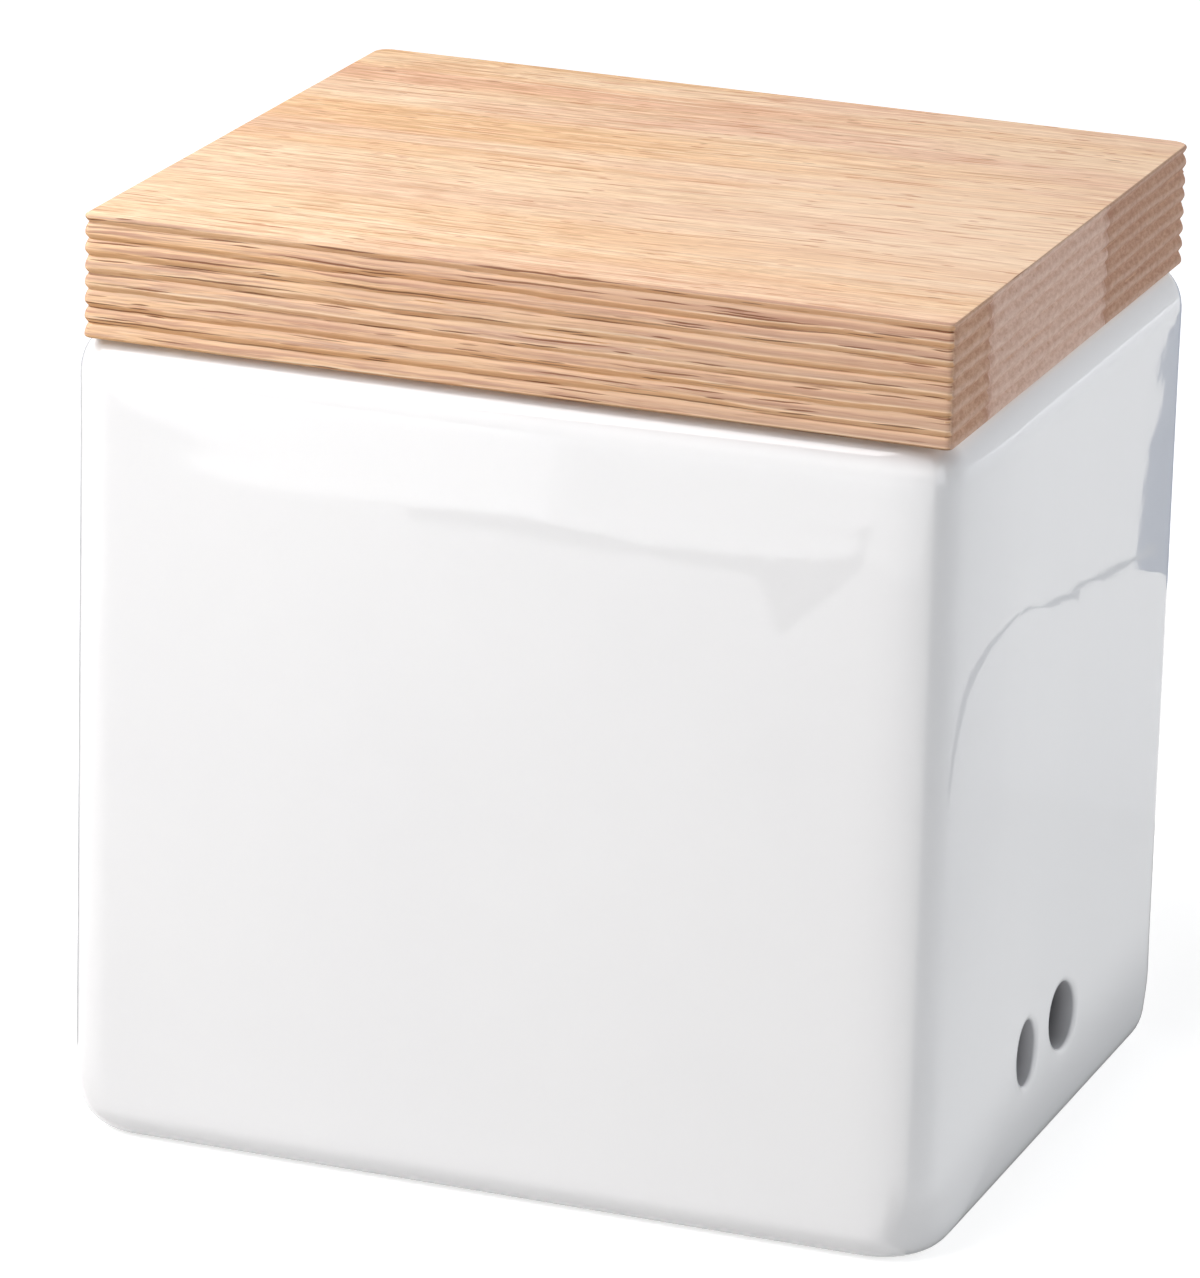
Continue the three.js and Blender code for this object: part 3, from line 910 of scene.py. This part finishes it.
def wood_material(name, offset, tilt, cream, pink, rust, fleck_share, end_colors, joints=()):
    """Straight-grained pale hardwood. Grain runs along X, so the X faces show end grain.

    joints are the planes across Y where this piece is glued to a neighbour.
    """
    look = Look(name)
    both, calc, ramp, tint = look.both, look.calc, look.ramp, look.tint
    bare = look.place()
    lengthwise, across, upright = look.parts(bare)
    turned = look.node("VectorRotate", {"Vector": bare, "Angle": radians(-tilt)},
                       rotation_type="Z_AXIS").outputs[0]
    place = look.vector("ADD", turned, offset)
    grain = place
    for cells, reach in GRAIN_SHIFTS:
        push = look.vector("SUBTRACT", look.noise(place, cells, output=1), (0.5, 0.5, 0.5))
        grain = look.vector("ADD", grain, look.vector("MULTIPLY", push, reach))

    def faded(key, where=grain):
        pattern, ends = WOOD_NOISES[key]
        return ramp(look.noise(where, *pattern), *ends)

    normal = look.parts(look.node("TexCoord").outputs["Normal"])
    depth = look.node("Attribute", attribute_name="reed_depth").outputs["Fac"]
    end = ramp(calc("ABSOLUTE", normal[0]), *END_FACING)
    flat = ramp(calc("ABSOLUTE", normal[2]), *FLAT_FACING)
    side = both(calc("SUBTRACT", 1.0, flat), calc("SUBTRACT", 1.0, end))

    # Colour of the growth bands, and of the finer streaks within them
    color = look.mix(faded("bands"), PALE, HONEY)
    color = tint(color, faded("blush"), pink, PINK)
    streaks = look.noise(grain, *STREAKS)
    tone = both(both(ramp(streaks, *STREAK_TONES), faded("fibres")), faded("hairs"))
    # Dark streaks are also deeper in colour
    deeper = [calc("POWER", tone, power) for power in TONE_POWERS]
    tones = look.node("CombineColor", dict(enumerate(deeper))).outputs[0]
    color = look.mix(1.0, color, tones, "MULTIPLY")
    color = tint(color, faded("rust"), rust, RUST)
    color = tint(color, faded("cream"), *CREAM_STREAK)
    color = tint(color, ramp(lengthwise, *CREAM_SPAN), cream, CREAM)

    # Vessel lines: short and thin on the face, longer and darker on the reeded edge
    def dashes(length, y_spacing, z_spacing, widest, fill, edge):
        distance, chance = look.scatter(grain, (1 / length, 1 / y_spacing, 1 / z_spacing))
        reach = ramp(chance, 1 - fill, 1.0, 0.0, widest)
        return ramp(calc("SUBTRACT", reach, distance), 0.0, edge)

    def scores(axis, pitch, length, width, fill):
        """Thin dark lines with tapered ends, at most one in each cell of this pitch and length.

        The axis is the one across which the pitch counts.
        """
        parts = look.parts(grain)
        across = calc("DIVIDE", parts[axis], pitch)
        row = calc("FLOOR", across)
        shift = look.node("TexWhiteNoise", {"W": row}, noise_dimensions="1D").outputs["Value"]
        lengthwise = calc("ADD", calc("DIVIDE", parts[0], length), both(shift, SCORE_ROW_SHIFT))
        column = calc("FLOOR", lengthwise)
        cell = look.node("CombineXYZ", {0: row, 1: column, 2: length}).outputs[0]
        cell_noise = look.node("TexWhiteNoise", {"Vector": cell}).outputs["Color"]
        chances = look.node("SeparateColor", {0: cell_noise}).outputs
        middle = ramp(chances[0], 0.0, 1.0, *SCORE_MIDDLE)
        half = ramp(chances[1], 0.0, 1.0, *SCORE_HALF_LENGTH)
        reach = calc("DIVIDE", calc("SUBTRACT", calc("FRACT", lengthwise), 0.5), half)
        taper = calc("SUBTRACT", 1.0, both(reach, reach), clamp=True)
        apart = both(calc("ABSOLUTE", calc("SUBTRACT", calc("FRACT", across), middle)), pitch)
        dark = ramp(calc("SUBTRACT", both(taper, width), apart), 0.0, width * SCORE_EDGE_SHARE)
        return both(dark, ramp(chances[2], 1 - fill, 1 - fill * SCORE_FAINT_SHARE))

    pores = both(dashes(6.0, 1.0, 0.36, 0.28, 0.65, 0.10), faded("crowd"))
    flecks = both(dashes(8.0, 1.4, 0.5, 0.24, 0.5, 0.06), fleck_share)
    veins = both(calc("MAXIMUM", scores(1, 1.5, 24.0, 0.30, 0.5),
                      scores(1, 2.3, 9.0, 0.34, 0.45)), flat)
    cracks = both(calc("MAXIMUM", scores(2, 1.15, 30.0, 0.18, 0.75),
                       scores(2, 0.8, 12.0, 0.14, 0.50)), side)
    for where, overlay in ((pores, PORE), (veins, VEIN), (flecks, FLECK)):
        color = tint(color, where, *overlay)

    # Painted light and shade on the reeded edge: a pinker grey where the reeds face up, varied by
    # the grain's strands, and golden where a reed turns back underneath and faces down
    lit_slope = both(ramp(normal[2], *LIT_SLOPE_FACING), side)
    under_shade = both(ramp(normal[2], *UNDER_SHADE_FACING), side)
    lit_slope_color = look.mix(faded("strands"), LIT_SLOPE_DARK, LIT_SLOPE_LIGHT)
    # Painted shade: the up-facing slopes darker towards +X
    lit_slope_color = look.mix(ramp(lengthwise, *SLOPE_SHADE_SPAN), lit_slope_color, SHADED_SLOPE)
    color = tint(color, lit_slope, LIT_SLOPE_SHARE, lit_slope_color)
    # Painted highlight, cream, on the deep part of each up-facing slope
    slope_highlight = both(ramp(depth, *SLOPE_HIGHLIGHT_DEPTH), lit_slope)
    # Painted shade, patchy, deep in the grooves
    crease_shade = both(both(ramp(depth, *CREASE_SHADE_DEPTH), side), faded("stretches"))
    for where, overlay in ((under_shade, UNDER_SHADE), (slope_highlight, SLOPE_HIGHLIGHT), (crease_shade, CREASE_SHADE), (cracks, CRACK)):
        color = tint(color, where, *overlay)
    # Painted shadow along the lid's low edge on the reeded sides, stronger towards +X
    low_edge_shadow = both(ramp(upright, *LOW_EDGE_SHADOW_HEIGHTS), ramp(lengthwise, *LOW_EDGE_SHADOW_SPAN))
    color = tint(color, low_edge_shadow, side, LOW_EDGE_SHADOW)

    # End grain soaks up more, so it is greyer, with fine mottle, specks and dark glue lines
    end_color = look.mix(faded("mottle", place), *end_colors)
    distance, chance = look.scatter(place, END_SPOT_CELLS)
    spots = both(ramp(distance, *END_SPOT_REACH), ramp(chance, *END_SPOT_CHANCE))
    end_color = tint(end_color, spots, *END_SPOT)
    # Painted highlight along the reed crests in the end grain
    end_color = tint(end_color, ramp(depth, *END_CREST_DEPTH), *END_CREST_HIGHLIGHT)
    patch = faded("glue", place)
    for joint in joints:
        apart = calc("ABSOLUTE", calc("SUBTRACT", across, joint))
        end_color = tint(end_color, both(ramp(apart, *GLUE_REACH), patch), *GLUE)
    color = tint(color, end, END_SHARE, end_color)

    cut = calc("ADD", both(pores, PORE_CUT), both(cracks, CRACK_CUT))
    height = calc("SUBTRACT", both(streaks, STREAK_RISE), cut)
    height = both(height, calc("SUBTRACT", 1.0, end))
    look.set(look.surface.inputs["Specular IOR Level"], WOOD_SHEEN)
    return look.finish(color, ramp(streaks, *WOOD_ROUGHNESS), height, 0.00006, 0.6)


def glaze_material():
    """Glossy white glaze with a trace of cool tint, tiny pits and an even orange-peel ripple."""
    look = Look("white_glaze")
    ramp = look.ramp
    place = look.place()
    cloud = look.noise(place, (0.02, 0.02, 0.02), 2.0)
    color = look.mix(cloud, srgb(240, 240, 241), srgb(245, 245, 245))
    distance, _ = look.scatter(place, (0.028, 0.028, 0.028))
    color = look.tint(color, ramp(distance, *PIT_EDGE, 1.0, 0.0), PIT_SHARE, PIT_COLOR)
    ripple = look.noise(place, (0.35, 0.35, 0.35))
    # Painted shadow: a grey band on the front shoulder under the lid's edge, stronger to the right,
    # fitted to the photo's shading
    along, across, height = look.parts(place)
    painted_shadow = look.both(ramp(height, PAINTED_SHADOW_LOW, PAINTED_SHADOW_HIGH),
                     ramp(along, -BODY_WIDTH / 2, BODY_WIDTH / 2, *PAINTED_SHADOW_SHARES))
    in_front = ramp(across, SHOULDER_REACH * 2 - BODY_DEPTH / 2, SHOULDER_REACH - BODY_DEPTH / 2)
    painted_shadow = look.both(painted_shadow, in_front)
    # Painted light: a whiter band on the other shoulders under the lid, fitted to the photo's right
    # face
    white = look.both(look.calc("SUBTRACT", 1.0, in_front), ramp(height, *PAINTED_LIGHT_HEIGHTS))
    color = look.mix(white, color, srgb(250, 250, 251))
    color = look.mix(painted_shadow, color, srgb(204, 200, 201))
    return look.finish(color, 0.025, ripple, 0.00001, 0.3)


def vent_shade_material():
    """Painted shade in the vents: grey, as the photo shows, that fades to the white glaze at the
    mouth.
    """
    look = Look("vent_painted_shade")
    place = look.place()
    run = look.noise(place, (0.3, 0.8, 0.8), 2.0)
    color = look.mix(run, srgb(112, 112, 117), srgb(130, 129, 131))
    outward = look.calc("ABSOLUTE", look.parts(place)[0])
    mouth = look.ramp(outward, BODY_WIDTH / 2 - VENT_SHADE_FADE, BODY_WIDTH / 2 - VENT_LIP_RADIUS / 2)
    color = look.mix(mouth, color, srgb(240, 240, 242))
    return look.finish(color, 0.28, run, 0.00002, 0.3)


def bisque_material():
    """Bare fired clay under the foot ring."""
    look = Look("bare_clay")
    grit = look.noise(look.place(), (2.5, 2.5, 2.5), 4.0)
    color = look.mix(grit, srgb(222, 214, 202), srgb(200, 190, 176))
    return look.finish(color, 0.85, grit, 0.0001, 0.5)


def silicone_material():
    """Milky soft ring."""
    look = Look("milky_silicone")
    haze = look.noise(look.place(), (0.3, 0.3, 0.3), 2.0)
    color = look.mix(haze, srgb(232, 230, 224), srgb(240, 238, 232))
    return look.finish(color, 0.42, haze, 0.00003, 0.3)


def add_floor():
    """A pale floor that shows white to the camera and in gloss, and keeps the object's shadow."""
    look = Look("pale_floor")
    grain = look.noise(look.node("TexCoord").outputs["Object"], (3.0, 3.0, 3.0), 2.0)
    color = look.mix(grain, srgb(196, 196, 196), srgb(200, 200, 200))
    material = look.finish(color, 0.9)
    look.set(look.surface.inputs["Emission Color"], WHITE)
    look.set(look.surface.inputs["Emission Strength"], look.both(look.seen(), FLOOR_GLOW))
    mesh = bpy.data.meshes.new("floor")
    corners = ((-1, -1), (1, -1), (1, 1), (-1, 1))
    mesh.from_pydata([(x * FLOOR_REACH, y * FLOOR_REACH, FLOOR_Z) for x, y in corners],
                     [], [(0, 1, 2, 3)])
    mesh.materials.append(material)
    floor = placed("floor", mesh)


def add_light(name, azimuth, elevation, distance, size, power, color, mirrored=True):
    """A square soft light that looks at the object's middle, placed in degrees and metres."""
    away = towards(radians(azimuth), radians(elevation))
    lamp = bpy.data.lights.new(name, "AREA")
    lamp.size = size
    lamp.energy = power
    lamp.color = color
    light = placed(name, lamp)
    light.location = Vector((0, 0, BODY_HEIGHT * MM / 2)) + away * distance
    light.rotation_mode = "QUATERNION"
    light.rotation_quaternion = away.to_track_quat("Z", "Y")
    light.visible_camera = False
    light.visible_glossy = mirrored


def add_card(name, corners, color, strength=1.0, fade=None):
    """A flat card just above the floor that only shows in gloss, such as a paper's edge.

    fade is a list of places along X, in millimetres, each with the strength there.
    """
    look = Look(name)
    look.tree.nodes.remove(look.surface)
    if fade:
        places, levels = zip(*fade)
        along = look.parts(look.place())[0]
        strength = levels[0]
        for start, end, low, high in zip(places, places[1:], levels, levels[1:]):
            step = look.ramp(along, start, end, 0.0, high - low)
            strength = look.calc("ADD", strength, step)
    glow = look.node("Emission", {"Color": color, "Strength": strength})
    look.set(look.tree.nodes["Material Output"].inputs["Surface"], glow.outputs[0])
    mesh = bpy.data.meshes.new(name)
    mesh.from_pydata([(x * MM, y * MM, CARD_HEIGHT * MM) for x, y in corners], [],
                     [tuple(range(len(corners)))])
    mesh.materials.append(look.owner)
    card = placed(name, mesh)
    for kind in ("camera", "diffuse", "transmission", "volume_scatter", "shadow"):
        setattr(card, "visible_" + kind, False)


def add_reflections():
    """What the glaze mirrors: a bright screen in front, and the end of the paper behind."""
    left_edge = [(-1200, -800), (-300, -420), (-215, -388), (-198, -368), (-186, -360),
                 (-173, -352), (-166, -348), (-153, -345), (-146, -348), (-133, -349),
                 (-121, -351), (-106, -352)]
    right_edge = [(-106, -352), (-87, -350), (-66, -351), (-55, -354), (-49, -361), (900, -361)]
    add_card("screen_left", left_edge + [(-465, -1340), (-860, -1340)], WHITE, 3.1)
    add_card("screen_right", right_edge + [(900, -1340), (-465, -1340)], WHITE, 2.2)
    gap = left_edge[-3:] + right_edge[1:-1]
    gap += [(-48, -340), (-48, -320), (-47, -307), (-63, -340), (-84, -342), (-100, -341),
            (-109, -343), (-128, -341)]
    add_card("screen_gap", gap, WHITE, 0.1)
    corner_x, corner_y = (-64, -50)
    rays = ((-18, 30), (-18, 1500), (-36, 1500), (-55, 1500), (-55, 30))
    fan = [(corner_x + reach * sin(radians(heading)),
            corner_y + reach * cos(radians(heading))) for heading, reach in rays]
    add_card("room_left", fan, srgb(120, 124, 134))
    end = [(133, 264), (137, 278), (141.6, 294), (148.4, 319), (153.1, 336), (154.8, 344),
           (157.1, 357), (161.9, 377), (168, 404), (176, 427), (184, 455), (222, 600),
           (260, 1500), (-500, 1500), (-500, 264)]
    add_card("paper_end", end, srgb(110, 128, 160))
    # Painted shade in the floor's reflection: a card that dims towards the pot's right foot
    add_card("right_foot_painted_shade", [(60, -80), (136, -80), (136, 140), (60, 140)], WHITE,
             fade=((64, 0.2), (80, 1.03), (136, 1.0)))
    # The paper's edge: places along it and half its width there
    edge = [(135, 280, 0.5), (134, 273.7, 0.9), (135.9, 267, 0.9), (136.4, 262.8, 0.8),
            (136.2, 259.7, 0.8), (136.5, 256, 0.9), (137.8, 254.2, 0.9), (138.1, 249.1, 0.8),
            (137, 244, 0.7), (136.9, 242, 0.9), (139.2, 245.7, 0.6), (139.4, 239, 1),
            (139.8, 237.5, 0.6), (143, 235, 1.1), (146, 229.5, 0.8), (149, 229.5, 0.9),
            (156, 219, 1.3), (168, 201, 1.8), (178, 176, 3.5), (187, 146, 6), (195, 116, 8),
            (202, 86, 8)]
    inner = [(x - width, y) for x, y, width in edge]
    outer = [(x + width, y) for x, y, width in reversed(edge)]
    add_card("paper_edge", inner + outer, srgb(166, 170, 175))


def add_world():
    """Even light from all round, and white behind everything that the camera sees."""
    look = Look("studio", bpy.data.worlds)
    background = look.tree.nodes["Background"]
    look.set(background.inputs["Color"], (0.975, 0.97, 1.0, 1))
    look.set(background.inputs["Strength"], 0.10)
    white = look.node("Background", {"Strength": 1.0})
    choice = look.node("MixShader", {0: look.seen(), 1: background.outputs[0], 2: white.outputs[0]})
    look.set(look.tree.nodes["World Output"].inputs[0], choice.outputs[0])
    bpy.context.scene.world = look.owner


add_camera()
add_world()
add_floor()
add_light("key", -45, 46, 0.7, 0.55, 6.3, (1.0, 0.985, 0.98))
add_light("fill", 75, 10, 1.2, 0.8, 4.8, (0.93, 0.96, 1.0))
add_light("back", 150, 14, 1.2, 0.6, 4.5, (0.93, 0.96, 1.0), mirrored=False)
add_light("rear", 197, 10, 1.2, 0.7, 2.2, (0.97, 0.98, 1.0), mirrored=False)
add_reflections()
bpy.context.scene.view_settings.view_transform = "Standard"

glaze = glaze_material()
pot = build_pot(glaze, bisque_material(), vent_shade_material())
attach(pot, "pot")
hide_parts("ceramic_body")

board = board_skin()
STAVE_PLANES = {
    "lid_stave_front": [(front_high.y, 1)],
    "lid_stave_middle": [(front_high.y, -1), (back_low.y, 1)],
    "lid_stave_back": [(back_low.y, -1)],
}
for node, planes in STAVE_PLANES.items():
    wood = wood_material(node + "_wood", *WOOD_LOOKS[node], [place for place, _ in planes])
    stave = build_stave(node + "_board", board, planes, wood)
    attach(stave, "lid")
    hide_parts(node)

plug = build_plug(wood_material("plug_wood", *WOOD_LOOKS["lid_plug"]))
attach(plug, "lid")
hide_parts("lid_plug")

seal = build_seal(silicone_material())
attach(seal, "lid")
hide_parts("seal_ring")

bpy.context.view_layer.update()
